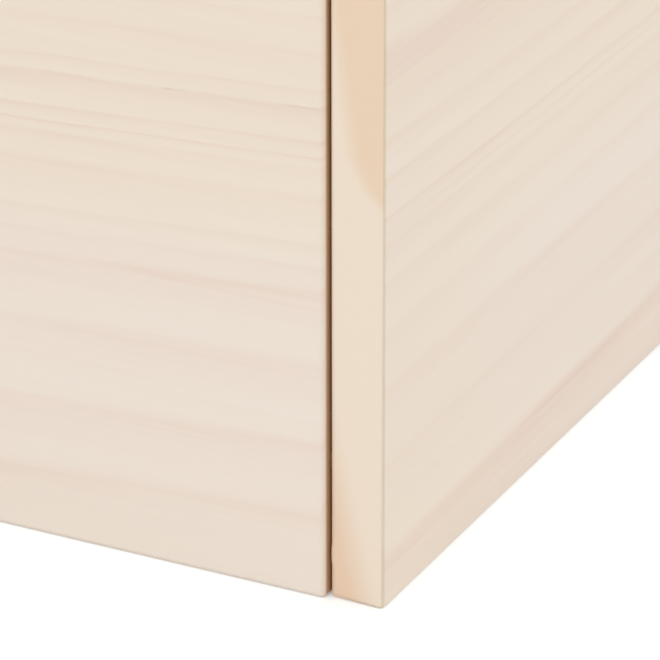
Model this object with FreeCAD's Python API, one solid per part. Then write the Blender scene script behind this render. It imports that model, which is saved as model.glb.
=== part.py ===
"""A sliding lid box of 10 mm boards, for A4 papers and keepsakes.

The frame: +Z up, the front faces -Y, +X is to the right of someone facing the front.
The origin is the centre of the box's footprint, on the surface that it stands on.
All sizes are millimetres.

Two side boards run the whole depth and show their end grain at the front and the back.
The front and back boards stand between them on blind dowels, a shadow gap short at each end.
A plywood base lies in grooves in all four boards. The lid's tongues run in grooves in the side
boards, over the top of the lower front board, and its rear tongue houses in the back board.
"""

import FreeCAD, Part
import math
import os

# ---- driving dimensions -------------------------------------------------------------------
# the space inside
INNER_WIDTH = 230.0  # between the side boards
INNER_DEPTH = 310.0  # between the front and back boards

# the boards
BOARD_THICKNESS = 10.0
BOARD_HEIGHT = 145.0  # side and back boards
EDGE_RADIUS = 1.0  # every board edge is sanded round
SHADOW_GAP = 0.4  # from the end of a board or lid to the face that it stands against
FACE_PROUD = 1.0  # front and back boards stand out past the ends of the side boards

# the lid and its grooves
LID_THICKNESS = 10.0
TONGUE_THICKNESS = 5.0  # the lid's lower layer, which runs in the grooves
TONGUE_EDGE_RADIUS = 0.4
LID_GROOVE_DEPTH = 5.0
LID_SIDE_PLAY = 0.4  # tongue tip to the bottom of its groove
LID_PLAY = 0.2  # above the tongue, and as much below it
LID_OVER_FRONT = 0.4  # underside of the lid to the top of the front board

# the thumb notch in the lid: a half moon with a sloping floor
NOTCH_WIDTH = 60.0
NOTCH_REACH = 22.0  # front to back, along the lid
NOTCH_DEPTH = 5.5  # at the front of its floor
NOTCH_SETBACK = 15.0  # from the lid's front edge to the front of that floor

# the base panel and its grooves
BASE_THICKNESS = 4.0
BASE_LIFT = 6.0  # from the ground to the groove
BASE_GROOVE_DEPTH = 5.0
BASE_SIDE_PLAY = 0.4  # panel edge to the bottom of its groove
BASE_PLAY = 0.1  # above the panel, and as much below it

# the dowels
DOWEL_DIAMETER = 6.0
DOWEL_LENGTH = 25.0
DOWEL_IN_SIDE = 7.0  # how far a dowel goes into a side board
DOWEL_CHAMFER = 0.6
DOWELS_PER_CORNER = 3
DOWEL_MARGIN = 25.0  # from the top and bottom of the front board to the outer dowels
GLUE_FILM = 0.05  # between a dowel and the wall of its hole
GLUE_POCKET = 1.0  # left free past the dowel's end in a front or back board
FLUTES = 10
FLUTE_RADIUS = 0.35

OVERCUT = 1.0  # how far a cutter starts before the face that it enters

# ---- worked out from them -----------------------------------------------------------------
HALF_WIDTH = INNER_WIDTH / 2
HALF_DEPTH = INNER_DEPTH / 2
SIDE_END = HALF_DEPTH + BOARD_THICKNESS - FACE_PROUD  # y of a side board's rear end
CROSS_LENGTH = INNER_WIDTH - 2 * SHADOW_GAP  # front board, back board and the lid's upper layer
CROSS_FACE = HALF_DEPTH + BOARD_THICKNESS  # y of the back board's outer face
CROSS_MIDDLE = HALF_DEPTH + BOARD_THICKNESS / 2  # y of its middle plane, where the dowels lie

LID_UNDERSIDE = BOARD_HEIGHT - LID_THICKNESS
GROOVE_FLOOR = LID_UNDERSIDE - LID_PLAY
GROOVE_WIDTH = TONGUE_THICKNESS + 2 * LID_PLAY
GROOVE_BACK = HALF_DEPTH + LID_GROOVE_DEPTH  # y where the lid groove stops
TONGUE_REACH = LID_GROOVE_DEPTH - LID_SIDE_PLAY  # how far a tongue stands into its groove
FRONT_HEIGHT = LID_UNDERSIDE - LID_OVER_FRONT

BASE_GROOVE_WIDTH = BASE_THICKNESS + 2 * BASE_PLAY
BASE_REACH = BASE_GROOVE_DEPTH - BASE_SIDE_PLAY

DOWEL_RADIUS = DOWEL_DIAMETER / 2
HOLE_RADIUS = DOWEL_RADIUS + GLUE_FILM
HOLE_IN_CROSS = DOWEL_LENGTH - DOWEL_IN_SIDE - SHADOW_GAP + GLUE_POCKET

AXIS_X = FreeCAD.Vector(1, 0, 0)


def block(low, high):
    """A box from its lowest corner to its highest."""
    size = [b - a for a, b in zip(low, high)]
    return Part.makeBox(*size, FreeCAD.Vector(*low))


def board(low, high, radius=EDGE_RADIUS):
    """A box with every edge sanded round."""
    plain = block(low, high)
    return plain.makeFillet(radius, plain.Edges)


def rod(start, length, radius):
    """A cylinder along +X."""
    return Part.makeCylinder(radius, length, FreeCAD.Vector(*start), AXIS_X)


def one_solid(shape):
    """The single solid that a boolean result holds, with its split faces joined."""
    solids = shape.removeSplitter().Solids
    if len(solids) != 1:
        raise ValueError(f"expected one solid, got {len(solids)}")
    return solids[0]


def dowel_heights():
    """Heights of the dowels at a corner, evenly spaced up the front board."""
    low, high = DOWEL_MARGIN, FRONT_HEIGHT - DOWEL_MARGIN
    step = (high - low) / (DOWELS_PER_CORNER - 1)
    return [low + step * i for i in range(DOWELS_PER_CORNER)]


def base_groove(low, high):
    """The cutter of one straight length of base groove, between two (x, y) corners."""
    floor = BASE_LIFT
    return block((*low, floor), (*high, floor + BASE_GROOVE_WIDTH))


def lid_groove(low, high):
    """The cutter of one straight length of lid groove, between two (x, y) corners."""
    return block((*low, GROOVE_FLOOR), (*high, GROOVE_FLOOR + GROOVE_WIDTH))


def side_board(side):
    """A side board, left for side -1 and right for side +1."""

    def cut_span(depth):
        """x of a cut into the inner face to this depth, lowest first."""
        return sorted((side * (HALF_WIDTH - OVERCUT), side * (HALF_WIDTH + depth)))

    x_low, x_high = sorted((side * HALF_WIDTH, side * (HALF_WIDTH + BOARD_THICKNESS)))
    body = board((x_low, -SIDE_END, 0), (x_high, SIDE_END, BOARD_HEIGHT))
    x_low, x_high = cut_span(LID_GROOVE_DEPTH)
    cutters = [lid_groove((x_low, -SIDE_END - OVERCUT), (x_high, GROOVE_BACK))]
    x_low, x_high = cut_span(BASE_GROOVE_DEPTH)
    reach = HALF_DEPTH + BASE_GROOVE_DEPTH
    cutters.append(base_groove((x_low, -reach), (x_high, reach)))
    x_low, x_high = cut_span(DOWEL_IN_SIDE)
    for y in (-CROSS_MIDDLE, CROSS_MIDDLE):
        for z in dowel_heights():
            cutters.append(rod((x_low, y, z), x_high - x_low, HOLE_RADIUS))
    return one_solid(body.cut(cutters))


def cross_board(end, height):
    """The front board for end -1 or the back board for end +1, less the back board's lid groove."""
    y_low, y_high = sorted((end * HALF_DEPTH, end * CROSS_FACE))
    half = CROSS_LENGTH / 2
    body = board((-half, y_low, 0), (half, y_high, height))
    groove_ends = (end * (HALF_DEPTH - OVERCUT), end * (HALF_DEPTH + BASE_GROOVE_DEPTH))
    cutters = [base_groove((-HALF_WIDTH, min(groove_ends)), (HALF_WIDTH, max(groove_ends)))]
    for z in dowel_heights():
        for start in (-half - OVERCUT, half - HOLE_IN_CROSS):
            cutters.append(rod((start, end * CROSS_MIDDLE, z), HOLE_IN_CROSS + OVERCUT, HOLE_RADIUS))
    return one_solid(body.cut(cutters))


def front_board():
    """The front board, which stops under the lid."""
    return cross_board(-1, FRONT_HEIGHT)


def back_board():
    """The back board, as high as the side boards, with the groove that the lid closes into."""
    groove = lid_groove((-HALF_WIDTH, HALF_DEPTH - OVERCUT), (HALF_WIDTH, GROOVE_BACK))
    return one_solid(cross_board(1, BOARD_HEIGHT).cut(groove))


def base_panel():
    """The plywood base, which reaches into the grooves of all four boards."""
    x, y = HALF_WIDTH + BASE_REACH, HALF_DEPTH + BASE_REACH
    floor = BASE_LIFT + BASE_PLAY
    return block((-x, -y, floor), (x, y, floor + BASE_THICKNESS))


def thumb_notch():
    """The cutter of the notch: an upright disc, tipped forward so that its flat face is the sloping
    floor. It meets the lid's top along a straight line and is deepest at its rounded front wall."""
    floor_length = math.hypot(NOTCH_REACH, NOTCH_DEPTH)
    floor_slope = math.degrees(math.atan2(NOTCH_DEPTH, NOTCH_REACH))
    arc_radius = ((NOTCH_WIDTH / 2) ** 2 + floor_length**2) / (2 * floor_length)
    rear_line = FreeCAD.Vector(0, -CROSS_FACE + NOTCH_SETBACK + NOTCH_REACH, BOARD_HEIGHT)
    centre = rear_line + FreeCAD.Vector(0, arc_radius - floor_length, 0)
    disc = Part.makeCylinder(arc_radius, LID_THICKNESS, centre)
    disc.rotate(rear_line, AXIS_X, floor_slope)
    return disc


def sliding_lid():
    """The lid: an upper layer between the boards, and a lower layer that reaches out as tongues."""
    half = CROSS_LENGTH / 2
    upper = board((-half, -CROSS_FACE, LID_UNDERSIDE), (half, HALF_DEPTH - SHADOW_GAP, BOARD_HEIGHT))
    tip = HALF_WIDTH + TONGUE_REACH
    lower = board(
        (-tip, -SIDE_END, LID_UNDERSIDE),
        (tip, HALF_DEPTH + TONGUE_REACH, LID_UNDERSIDE + TONGUE_THICKNESS),
        TONGUE_EDGE_RADIUS,
    )
    return one_solid(upper.fuse(lower).cut(thumb_notch()))


def fluted_dowel():
    """One dowel along +X from the origin: both ends chamfered, glue flutes along its length."""
    pin = rod((0, 0, 0), DOWEL_LENGTH, DOWEL_RADIUS)
    rims = [e for e in pin.Edges if isinstance(e.Curve, Part.Circle)]
    pin = pin.makeChamfer(DOWEL_CHAMFER, rims)
    flutes = []
    for i in range(FLUTES):
        angle = 2 * math.pi * i / FLUTES
        y, z = DOWEL_RADIUS * math.cos(angle), DOWEL_RADIUS * math.sin(angle)
        flutes.append(rod((0, y, z), DOWEL_LENGTH, FLUTE_RADIUS))
    return one_solid(pin.cut(flutes))


def corner_dowels(side, end):
    """The dowels of one corner, standing at the bottom of their holes in the side board."""
    tip = HALF_WIDTH + DOWEL_IN_SIDE
    start = tip - DOWEL_LENGTH if side > 0 else -tip
    pins = []
    for z in dowel_heights():
        pin = fluted_dowel()
        pin.translate(FreeCAD.Vector(start, end * CROSS_MIDDLE, z))
        pins.append(pin)
    return Part.makeCompound(pins)


def pieces():
    """Every sub-part by its node name."""
    made = {
        "side_board_left": side_board(-1),
        "side_board_right": side_board(1),
        "front_board": front_board(),
        "back_board": back_board(),
        "base_panel": base_panel(),
        "sliding_lid": sliding_lid(),
    }
    for end, end_name in ((-1, "front"), (1, "back")):
        for side, side_name in ((-1, "left"), (1, "right")):
            made[f"dowels_{end_name}_{side_name}"] = corner_dowels(side, end)
    return made


def main():
    os.makedirs("parts", exist_ok=True)
    for name, shape in pieces().items():
        if not shape.isValid():
            raise ValueError(f"{name} isn't a valid shape")
        shape.exportStep(f"parts/{name}.step")
        print(f"{name}: {len(shape.Solids)} solid(s), {shape.Volume / 1000:.1f} cm3")


main()
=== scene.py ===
"""The looks of a sliding lid box of bleached paulownia boards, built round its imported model.

Every board, the base and the lid are surfaces worked out with numpy from the boxes of the model's
own nodes. Lengths are metres, but in the materials and in how a board was sawn they are
millimetres.
"""

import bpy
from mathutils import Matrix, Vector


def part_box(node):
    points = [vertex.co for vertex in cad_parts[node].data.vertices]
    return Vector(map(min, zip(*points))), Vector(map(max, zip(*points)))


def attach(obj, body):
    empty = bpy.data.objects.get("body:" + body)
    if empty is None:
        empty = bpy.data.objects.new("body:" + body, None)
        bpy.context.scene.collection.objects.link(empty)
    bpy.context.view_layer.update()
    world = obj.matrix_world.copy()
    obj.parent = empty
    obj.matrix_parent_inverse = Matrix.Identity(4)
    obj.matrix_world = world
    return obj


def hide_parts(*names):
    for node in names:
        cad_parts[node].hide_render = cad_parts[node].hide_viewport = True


bl_info = {
    "name": "Sliding lid box",
    "version": (1, 0, 0),
    "blender": (4, 5, 0),
    "location": "3D View > Sidebar > Sliding lid box",
    "description": "Boards, base, lid and dowels of a sliding lid wooden box, and its stage",
    "category": "Add Mesh",
}

import math
from collections import namedtuple
from dataclasses import dataclass

import bmesh
import bpy
import numpy as np
from mathutils import Vector

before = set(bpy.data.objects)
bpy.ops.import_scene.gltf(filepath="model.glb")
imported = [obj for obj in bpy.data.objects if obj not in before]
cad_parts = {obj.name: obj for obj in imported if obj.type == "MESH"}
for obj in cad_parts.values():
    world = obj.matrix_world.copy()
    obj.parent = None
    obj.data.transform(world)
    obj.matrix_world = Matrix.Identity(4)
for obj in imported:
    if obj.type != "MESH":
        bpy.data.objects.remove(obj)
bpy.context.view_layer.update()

MM = 0.001
X, Y, Z = 0, 1, 2

# how finely the surfaces are drawn
QUARTER_STEPS = 8  # faces round a quarter turn
FLAT_STEP = 8 * MM  # about the longest face along a board
NOTCH_STEP = 2 * MM  # grid spacing round the thumb notch
NOTCH_MARGIN = 3 * NOTCH_STEP  # of finer grid beside the notch and behind it
NOTCH_FRONT_MARGIN = 4 * NOTCH_STEP  # and in front of it
STRAIGHT_START = 2 * MM  # where a board's rounded end has surely become straight
SAME_PLACE = 1e-7  # points closer than this are one point
JUST_BESIDE = 10 * SAME_PLACE  # from a station to a place on either side of it
SHARP_ANGLE = math.radians(40)

# how sanding by hand leaves the edges
EDGE_WAVES = ((0.08, 47 * MM), (0.05, 19 * MM))  # each wave's share of the radius, and its length / 2 pi
EDGE_SPREAD = (0.05, 9)  # how much the radius differs between the edges, and how their phases spread
ARRIS_MIDDLE = (0.29, 0.2911)  # half way round the notch's broken edge: out and down, in its widths

# the view
VIEW_AZIMUTH = math.radians(26.6)  # from straight in front, towards the right
VIEW_ELEVATION = math.radians(25.75)
IMAGE_SIDE = 660  # pixels
FOCAL_LENGTH = 6700  # pixels
NEAR_CORNER_PIXEL = (383.3, 610.8)  # where the right side board's lower front corner shows
NEAR_CORNER_SCALE = 6.03 / MM  # pixels per metre at that corner
SENSOR_WIDTH = 36.0  # mm
FARTHEST_SEEN = 100  # metres

# the stage, in metres and watts
FLOOR_REACH = 12.0  # each way from the middle
FLOOR_LINES = 9  # of its grid, each way
SKY_LIGHT = 0.72  # strength at which the white sky lights the box
LAMPS = (("key", (0.25, -1.5, 1.5), 12.4), ("fill", (1.6, 0.8, 0.8), 6.6))  # place and power
LAMP_SIDE = 1.4


def linear(code):
    """An sRGB hex colour as linear RGBA."""
    srgb = [int(code[i : i + 2], 16) / 255 for i in (0, 2, 4)]
    return (*[c / 12.92 if c <= 0.04045 else ((c + 0.055) / 1.055) ** 2.4 for c in srgb], 1.0)


# ---- what a user would change ---------------------------------------------------------------


def length(name, description, millimetres):
    """A size property, given in millimetres."""
    size = millimetres * MM
    return bpy.props.FloatProperty(
        name=name, description=description, default=size, min=0, subtype="DISTANCE", unit="LENGTH"
    )


def colour(name, description, code):
    """A colour property, given as an sRGB hex colour."""
    return bpy.props.FloatVectorProperty(
        name=name, description=description, default=linear(code), size=4, min=0, max=1, subtype="COLOR"
    )


class BoxSizes(bpy.types.PropertyGroup):
    """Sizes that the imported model's boxes don't give."""

    edge_radius: length("Long edges", "Sanded radius of the boards' long edges", 1.0)
    inner_end_low: length("Side ends, inner low", "Radius of their inner edge at the bottom", 1.35)
    inner_end_high: length("Side ends, inner high", "Radius of their inner edge at the top", 0.7)
    outer_end_low: length("Side ends, outer low", "Radius of their outer edge at the bottom", 0.8)
    outer_end_high: length("Side ends, outer high", "Radius of their outer edge at the top", 0.55)
    cross_end: length("Front and back ends", "Radius at the ends of the front and back boards", 1.0)
    groove_arris: length("Groove arris", "Width of the broken edge at a groove's mouth", 0.25)
    tongue_thickness: length("Tongue", "Thickness of the lid's tongues", 5.0)
    tongue_radius: length("Tongue edges", "Radius of the tongues' edges", 0.4)
    side_play: length("Side play", "From a tongue's tip to the bottom of its groove", 0.4)
    lid_play: length("Lid play", "Above the lid's tongue in its groove, and below it", 0.2)
    base_play: length("Base play", "Above the base in its groove, and below it", 0.1)
    base_radius: length("Base edges", "Radius of the base panel's edges", 0.2)
    notch_width: length("Notch width", "Length of the thumb notch's straight rear line", 60.0)
    notch_reach: length("Notch reach", "The thumb notch's floor, front to back along the lid", 22.0)
    notch_depth: length("Notch depth", "Depth of the thumb notch at the front of its floor", 5.5)
    notch_setback: length("Notch setback", "From the lid's front edge to the front of that floor", 15.0)
    notch_arris: length("Notch arris", "Width of the broken edge round the notch", 0.35)


class BoxColours(bpy.types.PropertyGroup):
    """Colours of the woods and of the floor."""

    cream: colour("Cream wood", "Paulownia between its ring lines", "ECDFCE")
    # pale: a paler, bluer band at a given ring radius, which comes in along the board
    pale: colour("Pale wood", "The paler band that some rings make", "ECE1D5")
    latewood: colour("Latewood", "The dark edge of a ring", "E4CDBE")
    pores: colour("Pores", "A line of open pores, or of glue", "E2D0BE")
    end: colour("End grain", "End grain of the sapwood", "ECDDCA")
    heart: colour("Heart", "End grain of the heartwood", "E8D0B6")
    # a darker, warmer corner of the end grain, by the inner face
    dark_corner: colour("Stain", "The stained corner of an end", "E6CAB0")
    # arris: a darker tint multiplied over the rounded outer edges of the ends
    arris: colour("Arris", "Tint that sanding gives the edge of an end", "ECEAE1")
    # joint: the unbleached wood inside the joints, and painted shade of those narrow gaps
    joint: colour("Joint", "Unbleached wood inside the joints", "BE9670")
    veneer: colour("Veneer", "Face veneer of the base", "E8D7BE")
    flame: colour("Veneer flame", "Dark flames of the base's veneer", "D8BF9E")
    core: colour("Plywood core", "Cross ply at the base's edges", "C7A680")
    beech: colour("Beech", "Dowels", "D9B98C")
    fleck: colour("Beech fleck", "Rays of the dowels", "BE9566")
    # glue: the dowels where they cross a joint: a glue stain, and painted shade of the joint's gap
    glue: colour("Glue stain", "The dowels where they cross a joint", "7E6144")
    floor: colour("Floor", "The pale floor", "F4F4F4")


# ---- surfaces -------------------------------------------------------------------------------


def weld(points, quads, loops):
    """Joins points that lie in one place. A quad that lost a corner turns into a triangle, and one
    that lost more is dropped. A loop is one flat face of many corners."""
    keys = np.round(points / SAME_PLACE).astype(np.int64)
    _, first, index = np.unique(keys, axis=0, return_index=True, return_inverse=True)
    index = index.reshape(-1)
    quads = index[quads]
    repeated = quads == np.roll(quads, -1, axis=1)
    lost = repeated.sum(axis=1)
    folded = (quads[:, 0] == quads[:, 2]) | (quads[:, 1] == quads[:, 3])
    whole = quads[(lost == 0) & ~folded]
    cut = (lost == 1) & ~folded
    triangles = quads[cut][~repeated[cut]].reshape(-1, 3)
    faces = whole.tolist() + triangles.tolist()
    for loop in loops:
        loop = index[loop]
        faces.append(loop[loop != np.roll(loop, 1)].tolist())
    return points[first], faces


def grid_quads(numbers):
    """Corner numbers of the quads of a grid of numbered points."""
    near, far = numbers[:-1], numbers[1:]
    return np.stack([near[:, :-1], near[:, 1:], far[:, 1:], far[:, :-1]], axis=-1).reshape(-1, 4)


def ring_quads(rows, columns):
    """Corner numbers of the quads between a grid's rows, each of which closes in a ring."""
    numbers = np.arange(rows * columns).reshape(rows, columns)
    return grid_quads(np.hstack([numbers, numbers[:, :1]]))


def new_object(name, data):
    """An object in the scene."""
    made = bpy.data.objects.new(name, data)
    bpy.context.scene.collection.objects.link(made)
    return made


def solid_piece(name, node, surface, material, body):
    """A closed mesh that rides on a body and stands for a CAD node."""
    points, faces = surface
    mesh = bpy.data.meshes.new(name)
    mesh.from_pydata(points.tolist(), [], faces)
    shape = bmesh.new()
    shape.from_mesh(mesh)
    bmesh.ops.recalc_face_normals(shape, faces=shape.faces)
    if not all(edge.is_manifold for edge in shape.edges):
        raise RuntimeError(f"{name} isn't a closed surface")
    shape.to_mesh(mesh)
    shape.free()
    mesh.shade_smooth()
    mesh.set_sharp_from_angle(angle=SHARP_ANGLE)
    mesh.materials.append(material)
    piece = new_object(name, mesh)
    piece.modifiers.new("Flat faces", "WEIGHTED_NORMAL").keep_sharp = True
    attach(piece, body)
    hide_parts(node)


# low and high are heights above the board's bottom, start and stop are places along the board
Groove = namedtuple("Groove", "low high depth start stop")


def section_loop(thickness, height, grooves, arris):
    """A board's section as a closed loop, inner face at s = 0 and outer face at s = thickness. Its
    columns: place (s, z) on the sharp-cornered section; the way out (s, z) in which that place
    moves as the section grows; the way (s, z) that rounding of radius 1 draws it in, which is the
    way out less the arc's own direction; the number of its groove, or -1; and its z while that
    groove has no depth."""

    def corner(s, z, out, start):
        turn = math.radians(start) + np.linspace(0, math.pi / 2, QUARTER_STEPS + 1)
        drawn = np.array(out) - np.column_stack([np.cos(turn), np.sin(turn)])
        one = np.ones((len(turn), 1))
        return np.hstack([s * one, z * one, out[0] * one, out[1] * one, drawn, -one, z * one])

    def flat(s, low, high, out):
        heights = np.linspace(low, high, max(1, round(abs(high - low) / FLAT_STEP)) + 1)[:, None]
        one = np.ones_like(heights)
        return np.hstack([s * one, heights, out * one, 0 * one, 0 * one, 0 * one, -one, heights])

    margin = min(2 * STRAIGHT_START, height / 2)
    rows = [
        corner(0, 0, (-1, -1), 180),
        corner(thickness, 0, (1, -1), 270),
        flat(thickness, margin, height - margin, 1),
        corner(thickness, height, (1, 1), 0),
        corner(0, height, (-1, 1), 90),
    ]
    top = height - margin
    for number in sorted(range(len(grooves)), key=lambda i: -grooves[i].low):
        groove = grooves[number]
        mouth = groove.high + arris
        rows.append(flat(0, max(top, mouth), mouth, -1))
        quarter = (groove.high - groove.low) / 4
        rows.append(np.array([
            [arris, groove.high, -1, 0, 0, 0, number, groove.high],
            [groove.depth, groove.high, 0, 0, 0, 0, number, groove.high - quarter],
            [groove.depth, groove.low, 0, 0, 0, 0, number, groove.low + quarter],
            [arris, groove.low, -1, 0, 0, 0, number, groove.low],
        ]))
        top = groove.low - arris
    rows.append(flat(0, top, min(top, margin), -1))
    return np.vstack(rows)


def board_stations(start, stop, grooves):
    """Stations along a board, as columns: the end of the board that each belongs to; the way inward
    from it; its turn a, from a quarter turn at the end itself to 0; and a place just beside it. A
    groove that stops short has two stations in one place, one where it is shut and one where it is
    open."""
    count = round((stop - start) / FLAT_STEP)
    middle = np.linspace(start + STRAIGHT_START, stop - STRAIGHT_START, count)
    stops = [p for groove in grooves for p in (groove.start, groove.stop) if start < p < stop]
    middle = np.repeat(np.union1d(middle, stops), 2)
    just_beside = middle + np.tile([-1, 1], len(middle) // 2) * JUST_BESIDE
    turn = np.linspace(math.pi / 2, 0, QUARTER_STEPS + 1)
    end = [start + 0 * turn, middle, stop + 0 * turn]
    inward = [1 + 0 * turn, 0 * middle, 0 * turn - 1]
    angle = [turn, 0 * middle, turn[::-1]]
    beside = [middle[0] + 0 * turn, just_beside, middle[-1] + 0 * turn]
    return [np.concatenate(column)[:, None] for column in (end, inward, angle, beside)]


def board_surface(low, high, axes, inner, grooves, edge_radius, end_radii, arris=0, seed=0):
    """A board: its section carried along its length. Towards each end the section draws in by
    r (1 - cos a) while its place nears the end by r sin a, for a from 0 to a quarter turn, so the
    end is rounded all round. r changes evenly across the board's thickness and up it. The long
    edges' radius wanders a little, as sanding by hand leaves it. axes are along, across and up the
    board, and inner is its inner face's coordinate across. end_radii is r, or r at the bottom and
    the top of the inner face, and then of the outer face."""
    along, across, up = axes
    thickness, height = high[across] - low[across], high[up] - low[up]
    outward = 1 if abs(inner - low[across]) < abs(inner - high[across]) else -1
    section = section_loop(thickness, height, grooves, arris)
    place, out, drawn = section[:, 0:2], section[:, 2:4], section[:, 4:6]
    owner, shut_height = section[:, 6], section[:, 7]
    outer_share, top_share = place[:, 0] / thickness, place[:, 1] / height
    corners = np.broadcast_to(end_radii, (2, 2))
    inner_r, outer_r = corners[:, :1] + (corners[:, 1:] - corners[:, :1]) * top_share
    end_radius = inner_r + (outer_r - inner_r) * outer_share

    end, inward, angle, beside = board_stations(low[along], high[along], grooves)
    inset = end_radius * (1 - np.cos(angle))
    station = end + inward * end_radius * (1 - np.sin(angle))
    phase = np.random.default_rng(seed).uniform(0, 2 * math.pi, 3)
    change, spread = EDGE_SPREAD
    wander = 1 + change * np.sin(spread * (outer_share + top_share) + phase[2])
    for (change, reach), start in zip(EDGE_WAVES, phase):
        wander = wander + change * np.sin(station / reach + start)
    radius = edge_radius * wander * np.cos(angle)
    s = place[:, 0] - out[:, 0] * inset - drawn[:, 0] * radius
    z = place[:, 1] - out[:, 1] * inset - drawn[:, 1] * radius
    for number, groove in enumerate(grooves):
        shut = (beside[:, 0] < groove.start) | (groove.stop < beside[:, 0])
        where = np.ix_(shut, owner == number)
        s[where] = inset[where]
        z[where] = np.broadcast_to(shut_height, z.shape)[where]

    points = np.empty((*s.shape, 3))
    points[..., along] = station
    points[..., across] = inner + outward * s
    points[..., up] = low[up] + z
    rows, columns = s.shape
    first = np.arange(columns)
    return weld(points.reshape(-1, 3), ring_quads(rows, columns), [first, first + (rows - 1) * columns])


# three of the runs that the lid's stations are in
LAYER_FRONT, REAR_STEP, REAR_TONGUE = 0, 4, 5


def lid_rows(low, high, upper_back, tongue_front, straight, sizes):
    """The lid's stations from front to back, as columns: the place along it, how far the upper
    layer and the tongue have turned at their rounded ends, and the number of the run that the
    station is in."""
    layer_r, tongue_r = sizes.edge_radius, sizes.tongue_radius
    quarter = math.pi / 2
    opening = np.linspace(quarter, 0, QUARTER_STEPS + 1)
    closing = opening[::-1]
    runs = [
        (low[Y] + layer_r * (1 - np.sin(opening)), opening, opening),  # front of the upper layer
        (tongue_front + tongue_r * (1 - np.sin(opening)), 0 * opening, opening),  # front of the tongues
        (straight, 0 * straight, 0 * straight),
        (upper_back - layer_r * (1 - np.sin(closing)), closing, 0 * closing),  # back of the upper layer
        ([upper_back], [quarter], [0]),  # where the rear tongue comes out of it
        (high[Y] - tongue_r * (1 - np.sin(closing)), quarter + 0 * closing, closing),  # its back
    ]
    y, layer_turn, tongue_turn = (np.concatenate(run)[:, None] for run in zip(*runs))
    run_number = np.repeat(np.arange(len(runs)), [len(run[0]) for run in runs])[:, None]
    return y, layer_turn, tongue_turn, run_number


def lid_half_section(rows, low, high, upper_half, top_x, sizes):
    """Half of the lid's section at each station: x and z along the bottom, round the tongue, into
    the corner above it, up the upper layer and along the top. Where a layer has turned by a, its
    faces are drawn in by r (1 - cos a) and its corners keep a radius of r cos a."""
    y, layer_turn, tongue_turn, run_number = rows
    no_tongue, no_layer = run_number == LAYER_FRONT, run_number >= REAR_STEP
    rear_tongue = run_number == REAR_TONGUE
    layer_r, tongue_r = sizes.edge_radius, sizes.tongue_radius
    layer_inset, layer_left = layer_r * (1 - np.cos(layer_turn)), layer_r * np.cos(layer_turn)
    tongue_inset, tongue_left = tongue_r * (1 - np.cos(tongue_turn)), tongue_r * np.cos(tongue_turn)
    side = upper_half - layer_inset
    tip = np.where(no_tongue, side, high[X] - tongue_inset)
    low_r = np.where(no_tongue, layer_left, tongue_left)
    high_r = np.where(no_tongue, 0, tongue_left)
    under = low[Z] + np.where(no_tongue, layer_inset, tongue_inset)
    ledge = low[Z] + sizes.tongue_thickness - np.where(no_tongue, 0, tongue_inset)
    roof = np.where(no_layer, ledge, high[Z] - layer_inset)
    keel = np.where(no_tongue | rear_tongue, under, low[Z])
    keel_half = np.where(no_tongue, side - layer_left, upper_half)
    arc = np.linspace(0, math.pi / 2, QUARTER_STEPS + 1)
    x = np.hstack([
        keel_half,
        tip - low_r * (1 - np.sin(arc)),
        tip - high_r * (1 - np.cos(arc)),
        side,
        side - layer_left * (1 - np.cos(arc)),
        top_x + 0 * y,
    ])
    z = np.hstack([
        keel,
        under + low_r * (1 - np.cos(arc)),
        ledge - high_r * (1 - np.sin(arc)),
        ledge,
        roof - np.where(no_layer, 0, layer_left) * (1 - np.sin(arc)),
        roof + 0 * top_x,
    ])
    return x, z


def lid_surface(low, high, upper_half, upper_back, tongue_front, sizes):
    """The lid: a section like an upside-down T carried from front to back. The thumb notch's patch
    takes the place of the top over a rectangle whose sides are lines of the grid."""
    half_patch = sizes.notch_width / 2 + NOTCH_MARGIN
    notch_front = low[Y] + sizes.notch_setback
    patch_front = notch_front - NOTCH_FRONT_MARGIN
    patch_back = notch_front + sizes.notch_reach + NOTCH_MARGIN
    columns = np.linspace(half_patch, 0, round(half_patch / NOTCH_STEP) + 1)
    patch_rows = np.linspace(patch_front, patch_back, round((patch_back - patch_front) / NOTCH_STEP) + 1)
    steps = round((upper_back - patch_back) / FLAT_STEP)
    behind = np.linspace(patch_back, upper_back - STRAIGHT_START, steps)
    straight = np.concatenate([[tongue_front + STRAIGHT_START], patch_rows, behind[1:]])
    edge = upper_half - 2 * STRAIGHT_START
    beside = np.linspace(edge, half_patch, round((edge - half_patch) / FLAT_STEP) + 1)[:-1]

    rows = lid_rows(low, high, upper_back, tongue_front, straight, sizes)
    top_x = np.concatenate([beside, columns])
    half_x, half_z = lid_half_section(rows, low, high, upper_half, top_x, sizes)
    x = np.hstack([half_x, -half_x[:, ::-1]])
    z = np.hstack([half_z, half_z[:, ::-1]])
    points = np.stack([x, rows[0] + 0 * x, z], axis=-1).reshape(-1, 3)
    count, width = x.shape
    quads = ring_quads(count, width)
    middle = points[quads].mean(axis=1)
    on_top = (points[quads][..., Z] > high[Z] - SAME_PLACE).all(axis=1)
    beyond = (abs(middle[:, X]) > half_patch) | (middle[:, Y] < patch_front) | (middle[:, Y] > patch_back)
    quads = quads[beyond | ~on_top]

    patch, patch_quads, patch_floor = notch_patch(columns, patch_rows, notch_front, high[Z], sizes)
    first = np.arange(width)
    return weld(
        np.vstack([points, patch]),
        np.vstack([quads, patch_quads + len(points)]),
        [first, first + (count - 1) * width, patch_floor + len(points)],
    )


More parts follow.
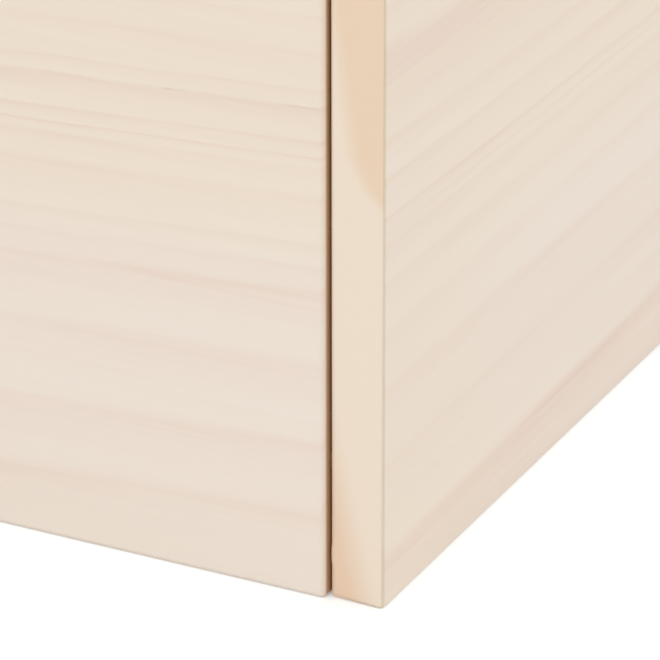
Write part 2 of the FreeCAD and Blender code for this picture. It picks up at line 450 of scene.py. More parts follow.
def notch_patch(columns, rows, notch_front, top, sizes):
    """The thumb notch in its rectangle of the lid's top: rings of points from the rectangle in to
    the notch's outline, over its broken edge, down its wall and onto its floor. The floor is a
    plane that slopes down to the front from a straight rear line. Its outline is that line and an
    arc through its ends. The wall is square to the floor."""
    slope = math.atan2(sizes.notch_depth, sizes.notch_reach)
    floor_length = math.hypot(sizes.notch_reach, sizes.notch_depth)
    half = sizes.notch_width / 2
    radius = (half**2 + floor_length**2) / (2 * floor_length)
    rear = notch_front + sizes.notch_reach

    across = np.concatenate([columns, -columns[-2::-1]])  # right to left
    back = np.column_stack([across, rows[-1] + 0 * across])
    left = np.column_stack([across[-1] + 0 * rows, rows[::-1]])
    front = np.column_stack([across[::-1], rows[0] + 0 * across])
    right = np.column_stack([across[0] + 0 * rows, rows])
    rectangle = np.vstack([back, left[1:], front[1:], right[1:-1]])
    outer = np.column_stack([rectangle, top + 0 * rectangle[:, 0]])

    half_angle = math.atan2(half, radius - floor_length)
    steps = len(outer) - len(back) + 1
    swing = np.linspace(-half_angle, half_angle, steps + 1)[1:-1]
    x = np.concatenate([across / across[0] * half, radius * np.sin(swing)])
    down = np.concatenate([0 * across, floor_length - radius * (1 - np.cos(swing))])  # along the floor
    depth = down * math.sin(slope)
    floor = np.column_stack([x, rear - down * math.cos(slope), top - depth])
    lip_y = floor[:, 1] - depth * math.tan(slope)

    arris = np.minimum(sizes.notch_arris, depth / 2)
    out = np.column_stack([x, floor_length - radius - down])
    out /= np.linalg.norm(out, axis=1)[:, None]
    rings = [outer]
    for out_share, down_share in ((1, 0), ARRIS_MIDDLE):  # the broken edge's top and its middle
        widened = np.column_stack([x, lip_y]) + out * (arris * out_share)[:, None]
        rings.append(np.column_stack([widened, top - arris * down_share]))
    rings.insert(1, (outer + rings[1]) / 2)
    rings.append(np.column_stack([x, lip_y + arris * math.tan(slope), top - arris]))
    rings.append(floor)
    count = len(outer)
    return np.vstack(rings), ring_quads(len(rings), count), (len(rings) - 1) * count + np.arange(count)


# ---- how the boards were sawn ---------------------------------------------------------------

RING_WIDTH = 5.0  # mm, mean
PITH_DEPTH = 70.0  # mm, behind the show faces of the front board and the right side board
INNER_MARKS = (0.4, 0.4, 0.4)  # of the rings inside those whose heights are given
OUTER_MARKS = (0.35, 0.5, 0.2) * 3  # of the rings outside them
BROAD_LATEWOOD = 0.6  # of a ring's growth, where a broad band of latewood starts
JOINT_MARGIN = 0.3  # mm, from a cross board's edge to where it surely hides a side board


@dataclass
class Cut:
    """How a board was sawn from its log, in millimetres. The rings are circles round a pith that
    lies behind the show face at height 0. Their growth is radii, each with its ring number, which
    is whole at a ring's outer edge. Their marks say how dark each one's edge is, from 0 to 1."""

    along: int  # axis along the grain
    up: int  # axis up the show face
    into: int  # axis into the board
    face: float  # the show face's coordinate on that axis
    inward: int  # 1 or -1, the way into the board on it
    thickness: float  # along it
    origin: float  # where along the grain the rings have their heights
    pith_depth: float  # from the show face
    rings: tuple  # their growth and their marks
    slope: float = 0.0  # rise of the rings along the grain
    taper: float = 0.0  # by how much they fall more, the higher they are
    wave: float = 2.0  # how far they bend
    shift: tuple = (0, 0, 0)  # where the board's noise is taken from
    pale: tuple = (80, 10)  # the paler band: radius of its middle, and half its width
    pale_along: tuple = (-100, 100)  # places along the grain where it starts and where it is full
    pore_line: float = None  # radius of a line of open pores
    heart: tuple = None  # heights on an end, and the depth that the heartwood reaches at each
    dark_corner: tuple = None  # a darker corner of an end, by its inner face: its lean, and depths where it starts and is full
    stave: float = None  # width of the staves that the board is glued from
    ends_joined: bool = False  # whether the ends lie in joints
    joined_beyond: float = None  # how far from the middle the inner face lies in joints


def rings_by_height(first_width, heights, marks, broad_from=None):
    """The growth and marks of rings whose edges come out of the show face at these heights, the
    lowest of which is first_width wide, with more rings inside and outside them. The highest one's
    latewood is broad if broad_from gives the height that it starts at."""
    known = np.hypot(PITH_DEPTH, np.array(heights))
    inside = known[0] - first_width - RING_WIDTH * np.arange(len(INNER_MARKS))[::-1]
    outside = known[-1] + RING_WIDTH * np.arange(1, len(OUTER_MARKS) + 1)
    edges = (*inside, *known, *outside)
    growth = list(zip(edges, range(len(edges))))
    if broad_from:
        last = len(inside) + len(known) - 1
        growth.insert(last, (math.hypot(PITH_DEPTH, broad_from), last - 1 + BROAD_LATEWOOD))
    return tuple(growth), (*INNER_MARKS, *marks, *OUTER_MARKS)


def rings_at_random(first, count, seed):
    """The growth and marks of rings of uneven widths."""
    draw = np.random.default_rng(seed)
    edges = first + np.cumsum(RING_WIDTH * draw.uniform(0.5, 1.6, count))
    return tuple(zip(edges, range(count))), tuple(draw.uniform(0.2, 0.65, count))


def joints_beyond():
    """How far from a side board's middle the joints on its inner face start, in millimetres."""
    _, front_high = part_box("front_board")
    return abs(front_high[Y]) / MM + JOINT_MARGIN


def front_cut(low, high):
    """The front board: rings that rise gently to the right."""
    heights = (16.8, 29.8, 45.0, 57.2, 61.0, 65.1, 73.9, 78.6, 80.3, 83.2, 89.4, 92.2, 99.6)
    marks = (0.5, 0.6, 0.3, 0.6, 0.25, 0.32, 0.34, 0.4, 0.68, 0.7, 1.0, 0.55, 0.3)
    return Cut(
        X, Z, Y, face=low[Y] / MM, inward=1, thickness=(high[Y] - low[Y]) / MM,
        origin=high[X] / MM, pith_depth=PITH_DEPTH, rings=rings_by_height(2.4, heights, marks),
        slope=0.06, pale=(81, 14), pale_along=(-100, 40), pore_line=113.1, ends_joined=True,
    )


def right_cut(low, high):
    """The right side board: rings that fall towards the back, more so the higher they are."""
    heights = (9.8, 27.5, 41.3, 52.4, 60.7, 67.2, 69.2, 71.8, 79.3, 86.0, 103.5)
    marks = (1.0, 0.3, 0.32, 0.2, 0.27, 0.31, 0.32, 0.65, 0.55, 0.4, 0.85)
    return Cut(
        Y, Z, X, face=high[X] / MM, inward=-1, thickness=(high[X] - low[X]) / MM,
        origin=low[Y] / MM, pith_depth=PITH_DEPTH,
        rings=rings_by_height(1.4, heights, marks, broad_from=91.5),
        slope=0.047, taper=0.00123, shift=(310, 90, 40), pale=(78, 11), pale_along=(-165, -90),
        heart=((0, -4), (69, -4), (72.5, 0), (75.8, 3.8), (81, 6.5), (90, 7.7), (99, 8.9), (145, 17)),
        dark_corner=(0.22, 0.0, 6.8), joined_beyond=joints_beyond(),
    )


def left_cut(low, high):
    """The left side board, whose heart is at its bottom."""
    return Cut(
        Y, Z, X, face=low[X] / MM, inward=1, thickness=(high[X] - low[X]) / MM,
        origin=high[Y] / MM, pith_depth=62.0, rings=rings_at_random(40.0, 26, seed=11),
        slope=-0.03, wave=3.0, shift=(720, 15, 260), pale=(90, 14),
        heart=((0, 7), (25, 5), (42, 0), (50, -4), (145, -4)), dark_corner=(-0.1, 12.0, 22.0),
        joined_beyond=joints_beyond(),
    )


def back_cut(low, high):
    """The back board."""
    return Cut(
        X, Z, Y, face=high[Y] / MM, inward=-1, thickness=(high[Y] - low[Y]) / MM,
        origin=low[X] / MM, pith_depth=54.0, rings=rings_at_random(30.0, 30, seed=12),
        slope=0.04, taper=0.0004, wave=3.0, shift=(150, 480, 90), pale=(100, 16), ends_joined=True,
    )


def lid_cut(low, high):
    """The lid: a panel of four staves glued edge to edge, each from another place in the log."""
    return Cut(
        Y, X, Z, face=high[Z] / MM, inward=-1, thickness=(high[Z] - low[Z]) / MM,
        origin=low[Y] / MM, pith_depth=45.0, rings=rings_at_random(18.0, 22, seed=13),
        slope=0.02, wave=4.0, shift=(40, 640, 330), pale=(55, 10), stave=60.0,
    )


# ---- materials ------------------------------------------------------------------------------

RELIEF_DEPTH = 0.05 * MM  # of bare wood's grain
WOOD_GLOSS = 0.3  # specular level of bare wood


def put(tree, kind, inputs=(), operation=None, curve=None, **settings):
    """Adds one node. kind is its type after "ShaderNode", and settings are its properties. inputs
    are for its enabled sockets in their order, or for sockets by name. Each is a value, an output,
    or a node, which stands for its first enabled output. So a Map Range takes the value, the range
    it comes from and the range it goes to, and a Mix takes the share of its second colour, and then
    both colours. curve is the corner points of a float curve."""
    made = tree.nodes.new("ShaderNode" + kind)
    if operation:
        made.operation = operation
    for key, value in settings.items():
        setattr(made, key, value)
    if isinstance(inputs, dict):
        sockets, inputs = [made.inputs[name] for name in inputs], inputs.values()
    else:
        sockets = [socket for socket in made.inputs if socket.enabled]
    for socket, value in zip(sockets, inputs):
        if isinstance(value, bpy.types.Node):
            value = next(output for output in value.outputs if output.enabled)
        if isinstance(value, bpy.types.NodeSocket):
            tree.links.new(value, socket)
        else:
            socket.default_value = value
    if curve is not None:
        line = made.mapping.curves[0]
        for _ in curve[2:]:
            line.points.new(0.5, 0.5)
        for point, place in zip(line.points, curve):
            point.location = place
            point.handle_type = "VECTOR"
        made.mapping.update()
    return made


def new_material(name):
    """An empty node material, its tree and its output node."""
    material = bpy.data.materials.new(name)
    material.use_nodes = True
    material.node_tree.nodes.clear()
    return material, material.node_tree, put(material.node_tree, "OutputMaterial")


def drawn_noise(tree, where, size, detail=2.0):
    """A noise whose grain has this size on each axis, in millimetres."""
    scale = [1 / reach for reach in size]
    drawn_out = put(tree, "VectorMath", (where, scale), "MULTIPLY")
    return put(tree, "TexNoise", {"Vector": drawn_out, "Scale": 1.0, "Detail": detail})


def facing_along(tree, normal, axis):
    """How squarely a surface faces along an axis, either way, from 0 to 1."""
    part = put(tree, "SeparateXYZ", (normal,)).outputs[axis]
    return put(tree, "Math", (part,), "ABSOLUTE")


def bare_wood(tree, output, shown, relief, strength, roughness):
    """Ends the material of a bare, matt wood: its colour, over the fine relief of its grain."""
    bump = put(tree, "Bump", {"Height": relief, "Strength": strength, "Distance": RELIEF_DEPTH})
    shader = put(tree, "BsdfPrincipled", {
        "Base Color": shown, "Roughness": roughness, "Specular IOR Level": WOOD_GLOSS, "Normal": bump,
    })
    tree.links.new(shader.outputs[0], output.inputs[0])


# the noises of paulownia, in millimetres: length along the grain, and width
GRAIN = {
    "wave": (120, 50),  # slow bends of the rings
    "ripple": (25, 8),  # small bends of the rings
    "fading": (60, 14),  # where a ring line grows faint
    "pores": (9, 3),  # where the line of pores is open
    "fibre": (45, 1.2),  # fibres, drawn wider than they are so that they show
    "streak": (150, 7),  # broad streaks
    "drift": (130, 40),  # drift of the colour
}
RIPPLE = 0.8  # mm, how far the small bends go
HALF_PORE_LINE = 0.15  # mm, half the width of the line of pores
GLUE_LINE = 0.12  # mm, width of the glue between two staves
LOG_LENGTH = 1000.0  # mm, within which a stave's place is picked
HEART_LEAST = -5.0  # mm, the least depth that a heart's edge may have
HEART_SPAN = 25.0  # mm, from it to the greatest
BROWN_AND_SHADE_START, BROWN_AND_SHADE_FULL = 0.25, 0.02  # mm short of the inner face, where it lies in a joint: where its brown and painted shade start, and where they are full


def board_place(tree, where, cut):
    """A point's place in its board in millimetres: along the grain, up the show face, into the
    board and, for a panel of staves, how far it is across its stave. Then the place that its noise
    is taken at. A stave moves both to another place in the log."""
    mm = put(tree, "VectorMath", (where, 1 / MM), "SCALE")
    part = put(tree, "SeparateXYZ", (mm,)).outputs
    along, up = part[cut.along], part[cut.up]
    depth = put(tree, "Math", (part[cut.into], cut.inward, -cut.inward * cut.face), "MULTIPLY_ADD")
    across, shift = None, cut.shift
    if cut.stave:
        share = put(tree, "Math", (up, cut.stave), "DIVIDE")
        number = put(tree, "Math", (share,), "FLOOR")
        chance = put(tree, "TexWhiteNoise", (number,), noise_dimensions="1D").outputs
        across = put(tree, "Math", (up, cut.stave), "FLOORED_MODULO")
        up = put(tree, "Math", (chance["Value"], cut.stave, across), "MULTIPLY_ADD")
        up = put(tree, "Math", (up, cut.stave), "SUBTRACT")
        shift = put(tree, "VectorMath", (chance["Color"], LOG_LENGTH), "SCALE")
    here = put(tree, "CombineXYZ", (along, up, depth))
    noisy = put(tree, "VectorMath", (here, shift), "ADD")
    return along, up, depth, across, noisy


def ring_radius(tree, cut, along, up, depth, noise):
    """Distance from the pith, in millimetres, with the rings' lean and bends."""
    run = put(tree, "Math", (along, cut.origin), "SUBTRACT")
    lean = put(tree, "Math", (run, cut.taper, 1.0), "MULTIPLY_ADD")
    height = put(tree, "Math", (up, lean), "MULTIPLY")
    for value, size in ((run, -cut.slope), (noise["wave"], cut.wave), (noise["ripple"], RIPPLE)):
        height = put(tree, "Math", (value, size, height), "MULTIPLY_ADD")
    mean_bend = (cut.wave + RIPPLE) / 2
    height = put(tree, "Math", (height, mean_bend), "SUBTRACT")
    to_pith = put(tree, "Math", (cut.pith_depth, depth), "SUBTRACT")
    radial = put(tree, "CombineXYZ", (height, to_pith))
    return put(tree, "VectorMath", (radial,), "LENGTH")


def latewood_share(tree, cut, radius, noise):
    """How dark the latewood is, from 0 to 1. A curve through the growth gives the ring's number,
    whose fraction t grows from 0 to 1 across the ring. The latewood darkens as t to the power 2.5,
    in faint lines along the fibres, and stops softly at the ring's edge."""
    growth, marks = cut.rings
    inner, outer, last = growth[0][0], *growth[-1]
    growth = [((edge - inner) / (outer - inner), number / last) for edge, number in growth]
    shades = [(number / last, mark) for number, mark in enumerate(marks)]
    share = put(tree, "MapRange", (radius, inner, outer))
    number = put(tree, "FloatCurve", {"Value": share}, curve=growth)
    number = put(tree, "Math", (number, last), "MULTIPLY")
    across = put(tree, "Math", (number,), "FRACT")
    whole = put(tree, "Math", (number,), "CEIL")
    whole = put(tree, "Math", (whole, last), "DIVIDE")
    latewood = put(tree, "FloatCurve", {"Value": whole}, curve=shades)
    for part in (
        put(tree, "Math", (across, 2.5), "POWER"),
        put(tree, "MapRange", (across, 0.82, 1.0, 1.0, 0.0), interpolation_type="SMOOTHSTEP"),
        put(tree, "MapRange", (noise["fading"], 0.3, 0.7, 0.75, 1.25)),
        put(tree, "MapRange", (noise["fibre"], 0.3, 0.7, 0.75, 1.25)),
    ):
        latewood = put(tree, "Math", (latewood, part), "MULTIPLY")
    return latewood


def wood_colour(tree, cut, along, radius, noise, colours):
    """The colour of the wood between its ring lines: cream, with a paler band of rings that comes
    in along the board, and a slow drift."""
    middle, half_width = cut.pale
    away = put(tree, "Math", (radius, middle), "SUBTRACT")
    away = put(tree, "Math", (away,), "ABSOLUTE")
    band = (away, 0.5 * half_width, 1.5 * half_width, 1.0, 0.0)
    band = put(tree, "MapRange", band, interpolation_type="SMOOTHSTEP")
    come_in = put(tree, "MapRange", (along, *cut.pale_along), interpolation_type="SMOOTHSTEP")
    pale = put(tree, "Math", (band, come_in), "MULTIPLY")
    drift = put(tree, "MapRange", (noise["drift"], 0.3, 0.7, -0.2, 0.2))
    pale = put(tree, "Math", (pale, drift), "ADD", use_clamp=True)
    return put(tree, "Mix", (pale, colours.cream, colours.pale), data_type="RGBA")


def face_colour(tree, cut, along, across, radius, noise, colours):
    """The colour of a face that runs with the grain, and how dark its grain is."""
    fibre = put(tree, "MapRange", (noise["fibre"], 0.4, 0.75, 0.0, 0.08))
    streak = put(tree, "MapRange", (noise["streak"], 0.45, 0.75, 0.0, 0.14))
    dark = latewood_share(tree, cut, radius, noise)
    dark = put(tree, "Math", (dark, fibre), "ADD")
    dark = put(tree, "Math", (dark, streak), "ADD", use_clamp=True)
    shown = wood_colour(tree, cut, along, radius, noise, colours)
    shown = put(tree, "Mix", (dark, shown, colours.latewood), data_type="RGBA")
    if cut.pore_line:
        opened = put(tree, "MapRange", (noise["pores"], 0.5, 0.62))
        pores = put(tree, "Math", (radius, cut.pore_line, HALF_PORE_LINE), "COMPARE")
        pores = put(tree, "Math", (pores, opened), "MULTIPLY")
        shown = put(tree, "Mix", (pores, shown, colours.pores), data_type="RGBA")
    if cut.stave:
        glue = put(tree, "Math", (across, 0.0, GLUE_LINE), "COMPARE")
        shown = put(tree, "Mix", (glue, shown, colours.pores), data_type="RGBA")
    return shown, dark


def end_colour(tree, cut, up, depth, colours):
    """The colour of an end: sapwood, and the heartwood and a darker corner that reach into it."""
    if not cut.heart:
        return colours.end
    top = cut.heart[-1][0]
    edge = [(height / top, (reach - HEART_LEAST) / HEART_SPAN) for height, reach in cut.heart]
    share = put(tree, "Math", (up, top), "DIVIDE")
    edge = put(tree, "FloatCurve", {"Value": share}, curve=edge)
    edge = put(tree, "Math", (edge, HEART_SPAN, HEART_LEAST), "MULTIPLY_ADD")
    beyond = put(tree, "Math", (depth, edge), "SUBTRACT")
    heart = put(tree, "MapRange", (beyond, -2.6, 1.6, 1.0, 0.0), interpolation_type="SMOOTHSTEP")
    lean, start, full = cut.dark_corner
    reach = put(tree, "Math", (up, -lean, depth), "MULTIPLY_ADD")
    dark_corner = put(tree, "MapRange", (reach, start, full), interpolation_type="SMOOTHSTEP")
    shown = put(tree, "Mix", (heart, colours.end, colours.heart), data_type="RGBA")
    return put(tree, "Mix", (dark_corner, shown, colours.dark_corner), data_type="RGBA")


def bare_end(tree, cut, shown, facing, up, depth, colours):
    """An end that shows: end grain, and a darker tint multiplied over its rounded edge where the
    surface turns from the face to the end, except at the inner face."""
    end = end_colour(tree, cut, up, depth, colours)
    end_share = put(tree, "MapRange", (facing, 0.5, 0.95), interpolation_type="SMOOTHSTEP")
    shown = put(tree, "Mix", (end_share, shown, end), data_type="RGBA")
    rising = put(tree, "MapRange", (facing, 0.1, 0.6), interpolation_type="SMOOTHSTEP")
    falling = put(tree, "MapRange", (facing, 0.8, 0.995, 1.0, 0.0), interpolation_type="SMOOTHSTEP")
    outside = put(tree, "MapRange", (depth, 0.5 * cut.thickness, 0.85 * cut.thickness, 1.0, 0.0))
    arris = put(tree, "Math", (rising, falling), "MULTIPLY")
    arris = put(tree, "Math", (arris, outside), "MULTIPLY")
    return put(tree, "Mix", (arris, shown, colours.arris), data_type="RGBA", blend_type="MULTIPLY")


def end_browned_and_shaded_in_joint(tree, shown, facing, colours):
    """An end that lies in a joint: it browns as the surface turns into the joint, partly its own
    unbleached colour and partly painted shade of the narrow gap.
    """
    turns = [(0, 0), (0.85, 0.15), (0.95, 0.5), (1, 1)]
    brown = put(tree, "FloatCurve", {"Value": facing}, curve=turns)
    return put(tree, "Mix", (brown, shown, colours.joint), data_type="RGBA")


def face_browned_and_shaded_in_joint(tree, cut, shown, facing, along, depth, colours):
    """The inner face, which is brown where another board's end covers it: partly its own unbleached
    colour and partly painted shade of the narrow gap.
    """
    from_middle = put(tree, "Math", (along,), "ABSOLUTE")
    beyond = put(tree, "Math", (from_middle, cut.joined_beyond), "GREATER_THAN")
    inside = put(tree, "MapRange", (depth, cut.thickness - BROWN_AND_SHADE_START, cut.thickness - BROWN_AND_SHADE_FULL))
    covered = put(tree, "Math", (beyond, inside), "MULTIPLY")
    brown = put(tree, "MapRange", (facing, 0.0, 0.8, covered, 0.0))
    return put(tree, "Mix", (brown, shown, colours.joint), data_type="RGBA")


def paulownia(name, cut, colours):
    """Bleached paulownia, sanded and left bare: a pale, matt face with soft, low-contrast rings
    over fine fibres, and a warmer end grain. Inside the joints the wood is brown: partly its own
    unbleached colour and partly painted shade of the narrow gaps."""
    material, tree, output = new_material(name)
    place = put(tree, "TexCoord").outputs
    along, up, depth, across, noisy = board_place(tree, place["Object"], cut)
    noise = {key: drawn_noise(tree, noisy, (long, wide, wide)) for key, (long, wide) in GRAIN.items()}
    radius = ring_radius(tree, cut, along, up, depth, noise)
    shown, dark = face_colour(tree, cut, along, across, radius, noise, colours)
    facing = facing_along(tree, place["Normal"], cut.along)
    if cut.ends_joined:
        shown = end_browned_and_shaded_in_joint(tree, shown, facing, colours)
    else:
        shown = bare_end(tree, cut, shown, facing, up, depth, colours)
    if cut.joined_beyond:
        shown = face_browned_and_shaded_in_joint(tree, cut, shown, facing, along, depth, colours)
    relief = put(tree, "Math", (dark, noise["fibre"]), "ADD")
    bare_wood(tree, output, shown, relief, strength=0.15, roughness=0.62)
    return material


FLAME_RELIEF = (30, 170, 30)  # mm on each axis
FLAMES = 14.0  # contour lines from the bottom of that relief to its top
VENEER_FIBRE = (0.7, 25, 0.7)  # mm on each axis, wider than it is so that it shows


def plywood(name, colours):
    """Thin plywood, sanded: a rotary-cut face veneer, which shows long flames, and a darker cross
    ply at the edges. The flames are the contour lines of a slow relief."""
    material, tree, output = new_material(name)
    place = put(tree, "TexCoord").outputs
    mm = put(tree, "VectorMath", (place["Object"], 1 / MM), "SCALE")
    relief = drawn_noise(tree, mm, FLAME_RELIEF)
    lines = put(tree, "Math", (relief, FLAMES), "MULTIPLY")
    across = put(tree, "Math", (lines,), "FRACT")
    flame = put(tree, "Math", (across, 3.0), "POWER")
    stop = put(tree, "MapRange", (across, 0.93, 1.0, 0.6, 0.0))
    flame = put(tree, "Math", (flame, stop), "MULTIPLY")

    fibre = drawn_noise(tree, mm, VENEER_FIBRE, detail=3.0)
    streak = put(tree, "MapRange", (fibre, 0.4, 0.8, 0.0, 0.35))
    dark = put(tree, "Math", (flame, streak), "ADD", use_clamp=True)
    shown = put(tree, "Mix", (dark, colours.veneer, colours.flame), data_type="RGBA")
    edge = put(tree, "MapRange", (facing_along(tree, place["Normal"], Z), 0.3, 0.7, 1.0, 0.0))
    shown = put(tree, "Mix", (edge, shown, colours.core), data_type="RGBA")
    bare_wood(tree, output, shown, fibre, strength=0.2, roughness=0.6)
    return material


BEECH_RAY = (2.5, 0.35, 0.35)  # mm on each axis
GLUE_AND_SHADE_REACH = 0.6  # mm, along a dowel, each way from the middle of its joint, darkened by glue and by painted shade


def beech(name, joint, colours):
    """Turned and fluted beech: a warm, even wood with short dark rays along it. Where it crosses the
    joint, whose place along X is given, it is darker: partly a glue stain and partly painted shade of
    the joint's gap."""
    material, tree, output = new_material(name)
    place = put(tree, "TexCoord").outputs
    mm = put(tree, "VectorMath", (place["Object"], 1 / MM), "SCALE")
    ray = drawn_noise(tree, mm, BEECH_RAY)
    fleck = put(tree, "MapRange", (ray, 0.5, 0.7))
    shown = put(tree, "Mix", (fleck, colours.beech, colours.fleck), data_type="RGBA")
    along = put(tree, "SeparateXYZ", (mm,)).outputs[X]
    along = put(tree, "Math", (along,), "ABSOLUTE")
    # painted shade of the joint's gap, with the glue stain, where the dowel crosses it
    glued = put(tree, "Math", (along, joint / MM, GLUE_AND_SHADE_REACH), "COMPARE")
    shown = put(tree, "Mix", (glued, shown, colours.glue), data_type="RGBA")
    bare_wood(tree, output, shown, ray, strength=0.2, roughness=0.55)
    return material


def seen_directly(tree):
    """1 on what the camera sees straight, mirrored or through glass, and 0 on what lights the box."""
    ray = put(tree, "LightPath").outputs
    seen = put(tree, "Math", (ray["Is Camera Ray"], ray["Is Glossy Ray"]), "MAXIMUM")
    return put(tree, "Math", (seen, ray["Is Transmission Ray"]), "MAXIMUM")


def pale_floor(name, colours):
    """A pale, matt studio floor that shows white where it is lit, with the box's soft shadow."""
    material, tree, output = new_material(name)
    place = put(tree, "TexCoord").outputs
    away = put(tree, "VectorMath", (place["Object"],), "LENGTH")
    glow = put(tree, "MapRange", (away, 0.35, 1.5, 0.25, 0.6))
    glow = put(tree, "Math", (seen_directly(tree), glow), "MULTIPLY")
    glow = put(tree, "Emission", {"Strength": glow})
    matt = put(tree, "BsdfDiffuse", {"Color": colours.floor})
    both = put(tree, "AddShader", (matt, glow))
    tree.links.new(both.outputs[0], output.inputs[0])
    return material


# ---- operators ------------------------------------------------------------------------------


def groove_for(node, inner, across, start, stop, sizes):
    """The groove, in a board whose inner face is at inner, that takes the edge of the base or the
    lid's tongue."""
    low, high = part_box(node)
    thickness, play = high[Z] - low[Z], sizes.base_play
    if node == "sliding_lid":
        thickness, play = sizes.tongue_thickness, sizes.lid_play
    depth = high[across] + sizes.side_play - abs(inner)
    return Groove(low[Z] - play, low[Z] + thickness + play, depth, start, stop)


class BoxOperator:
    """What the operators share."""

    bl_options = {"REGISTER"}

    def execute(self, context):
        self.make(context.scene.box_sizes, context.scene.box_colours)
        return {"FINISHED"}


class BOX_OT_side_boards(BoxOperator, bpy.types.Operator):
    """Makes both side boards, with the grooves for the base and the lid"""

    bl_idname = "sliding_lid_box.side_boards"
    bl_label = "Side boards"

    def make(self, sizes, colours):
        base_low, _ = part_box("base_panel")
        end_radii = (
            (sizes.inner_end_low, sizes.inner_end_high),
            (sizes.outer_end_low, sizes.outer_end_high),
        )
        for side, cut, seed in (("left", left_cut, 1), ("right", right_cut, 2)):
            node = f"side_board_{side}"
            low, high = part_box(node)
            inner = min(low[X], high[X], key=abs)
            starts = {"base_panel": base_low[Y] - sizes.side_play, "sliding_lid": low[Y] - STRAIGHT_START}
            grooves = [
                groove_for(held, inner, X, start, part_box(held)[1][Y] + sizes.side_play, sizes)
                for held, start in starts.items()
            ]
            surface = board_surface(
                low, high, (Y, X, Z), inner, grooves,
                sizes.edge_radius, end_radii, sizes.groove_arris, seed,
            )
            wood = paulownia(f"Bleached paulownia, sanded, {side} side board", cut(low, high), colours)
            solid_piece(f"paulownia_side_{side}", node, surface, wood, "box")


class BOX_OT_cross_boards(BoxOperator, bpy.types.Operator):
    """Makes the front board and the taller back board, which the lid closes into"""

    bl_idname = "sliding_lid_box.cross_boards"
    bl_label = "Front and back boards"

    def make(self, sizes, colours):
        for end, cut, seed in (("front", front_cut, 3), ("back", back_cut, 4)):
            low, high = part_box(f"{end}_board")
            inner = min(low[Y], high[Y], key=abs)
            whole = (low[X] - STRAIGHT_START, high[X] + STRAIGHT_START)
            held = ("base_panel",) if end == "front" else ("base_panel", "sliding_lid")
            grooves = [groove_for(node, inner, Y, *whole, sizes) for node in held]
            surface = board_surface(
                low, high, (X, Y, Z), inner, grooves,
                sizes.edge_radius, sizes.cross_end, sizes.groove_arris, seed,
            )
            wood = paulownia(f"Bleached paulownia, sanded, {end} board", cut(low, high), colours)
            solid_piece(f"paulownia_{end}", f"{end}_board", surface, wood, "box")


class BOX_OT_base(BoxOperator, bpy.types.Operator):
    """Makes the plywood base"""

    bl_idname = "sliding_lid_box.base"
    bl_label = "Base"

    def make(self, sizes, colours):
        low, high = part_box("base_panel")
        radius = sizes.base_radius
        surface = board_surface(low, high, (Y, Z, X), high[Z], [], radius, radius)
        veneer = plywood("Thin plywood, sanded", colours)
        solid_piece("plywood_base", "base_panel", surface, veneer, "box")


class BOX_OT_lid(BoxOperator, bpy.types.Operator):
    """Makes the sliding lid, with its tongues and its thumb notch"""

    bl_idname = "sliding_lid_box.lid"
    bl_label = "Lid"

    def make(self, sizes, colours):
        low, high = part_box("sliding_lid")
        back_low, back_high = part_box("back_board")
        side_low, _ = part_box("side_board_right")
        gap = side_low[X] - back_high[X]
        surface = lid_surface(low, high, back_high[X], back_low[Y] - gap, side_low[Y], sizes)
        wood = paulownia("Bleached paulownia, sanded, lid", lid_cut(low, high), colours)
        solid_piece("paulownia_lid", "sliding_lid", surface, wood, "lid")


class BOX_OT_dowels(BoxOperator, bpy.types.Operator):
    """Gives the dowels their beech"""

    bl_idname = "sliding_lid_box.dowels"
    bl_label = "Dowels"

    def make(self, sizes, colours):
        _, cross_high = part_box("front_board")
        side_low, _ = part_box("side_board_right")
        wood = beech("Beech, turned and fluted", (cross_high[X] + side_low[X]) / 2, colours)
        for name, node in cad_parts.items():
            if name.startswith("dowels"):
                node.data.materials.clear()
                node.data.materials.append(wood)


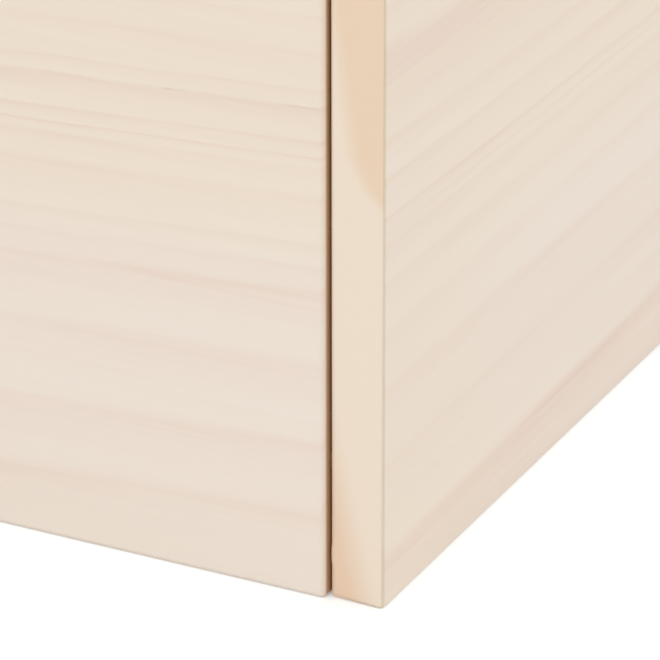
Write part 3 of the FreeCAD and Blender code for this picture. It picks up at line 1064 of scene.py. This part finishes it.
class BOX_OT_stage(BoxOperator, bpy.types.Operator):
    """Makes the floor, the soft light and the camera"""

    bl_idname = "sliding_lid_box.stage"
    bl_label = "Stage"

    def make(self, sizes, colours):
        self.make_floor(colours)
        self.make_light()
        self.make_camera()

    def make_floor(self, colours):
        """A square floor under the box, as a grid of quads."""
        reach = np.linspace(-FLOOR_REACH, FLOOR_REACH, FLOOR_LINES)
        x, y = np.meshgrid(reach, reach)
        points = np.column_stack([x.ravel(), y.ravel(), 0 * x.ravel()])
        quads = grid_quads(np.arange(x.size).reshape(x.shape))
        mesh = bpy.data.meshes.new("floor")
        mesh.from_pydata(points.tolist(), [], quads.tolist())
        mesh.materials.append(pale_floor("Pale matt floor", colours))
        new_object("floor", mesh)

    def make_light(self):
        """A white sky, which shows at full white and lights at less, and two large soft lamps."""
        world = bpy.data.worlds.new("soft studio")
        bpy.context.scene.world = world
        world.use_nodes = True
        tree = world.node_tree
        tree.nodes.clear()
        strength = put(tree, "MapRange", (seen_directly(tree), 0.0, 1.0, SKY_LIGHT, 1.0))
        sky = put(tree, "Background", {"Color": (1, 1, 1, 1), "Strength": strength})
        put(tree, "OutputWorld", (sky,))
        for name, place, power in LAMPS:
            lamp = bpy.data.lights.new(name, "AREA")
            lamp.size = LAMP_SIDE
            lamp.energy = power
            holder = new_object(name, lamp)
            holder.location = place
            holder.rotation_euler = (-Vector(place)).to_track_quat("-Z", "Y").to_euler()
            holder.visible_camera = False

    def make_camera(self):
        """The camera stands so far off that the near corner shows at its scale, and is moved
        sideways and up, without turning, until that corner is at its pixel."""
        low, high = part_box("side_board_right")
        corner = Vector((high[X], low[Y], low[Z]))
        level, tilt = VIEW_AZIMUTH, VIEW_ELEVATION
        toward = Vector((
            math.sin(level) * math.cos(tilt), -math.cos(level) * math.cos(tilt), math.sin(tilt),
        ))
        right = Vector((math.cos(level), math.sin(level), 0))
        upward = toward.cross(right)
        distance = FOCAL_LENGTH / NEAR_CORNER_SCALE
        offset = [(pixel - IMAGE_SIDE / 2) / NEAR_CORNER_SCALE for pixel in NEAR_CORNER_PIXEL]
        target = corner - right * offset[0] + upward * offset[1]
        lens = bpy.data.cameras.new("camera")
        lens.sensor_width = SENSOR_WIDTH
        lens.lens = FOCAL_LENGTH * SENSOR_WIDTH / IMAGE_SIDE
        lens.clip_end = FARTHEST_SEEN
        camera = new_object("camera", lens)
        camera.location = target + toward * distance
        camera.rotation_euler = toward.to_track_quat("Z", "Y").to_euler()
        bpy.context.scene.camera = camera
        bpy.context.scene.view_settings.view_transform = "Standard"


OPERATORS = (
    BOX_OT_side_boards, BOX_OT_cross_boards, BOX_OT_base, BOX_OT_lid, BOX_OT_dowels, BOX_OT_stage,
)


class BOX_PT_sidebar(bpy.types.Panel):
    """Lists the pieces, the sizes and the colours"""

    bl_label = "Sliding lid box"
    bl_space_type = "VIEW_3D"
    bl_region_type = "UI"
    bl_category = "Sliding lid box"

    def draw(self, context):
        for operator in OPERATORS:
            self.layout.operator(operator.bl_idname)
        for group in (context.scene.box_sizes, context.scene.box_colours):
            box = self.layout.box()
            for name in group.__annotations__:
                box.prop(group, name)


CLASSES = (BoxSizes, BoxColours, *OPERATORS, BOX_PT_sidebar)


def register():
    for cls in CLASSES:
        bpy.utils.register_class(cls)
    bpy.types.Scene.box_sizes = bpy.props.PointerProperty(type=BoxSizes)
    bpy.types.Scene.box_colours = bpy.props.PointerProperty(type=BoxColours)


def unregister():
    del bpy.types.Scene.box_colours
    del bpy.types.Scene.box_sizes
    for cls in reversed(CLASSES):
        bpy.utils.unregister_class(cls)


def main():
    register()
    bpy.ops.sliding_lid_box.side_boards()
    bpy.ops.sliding_lid_box.cross_boards()
    bpy.ops.sliding_lid_box.base()
    bpy.ops.sliding_lid_box.lid()
    bpy.ops.sliding_lid_box.dowels()
    bpy.ops.sliding_lid_box.stage()


if __name__ == "__main__":
    main()
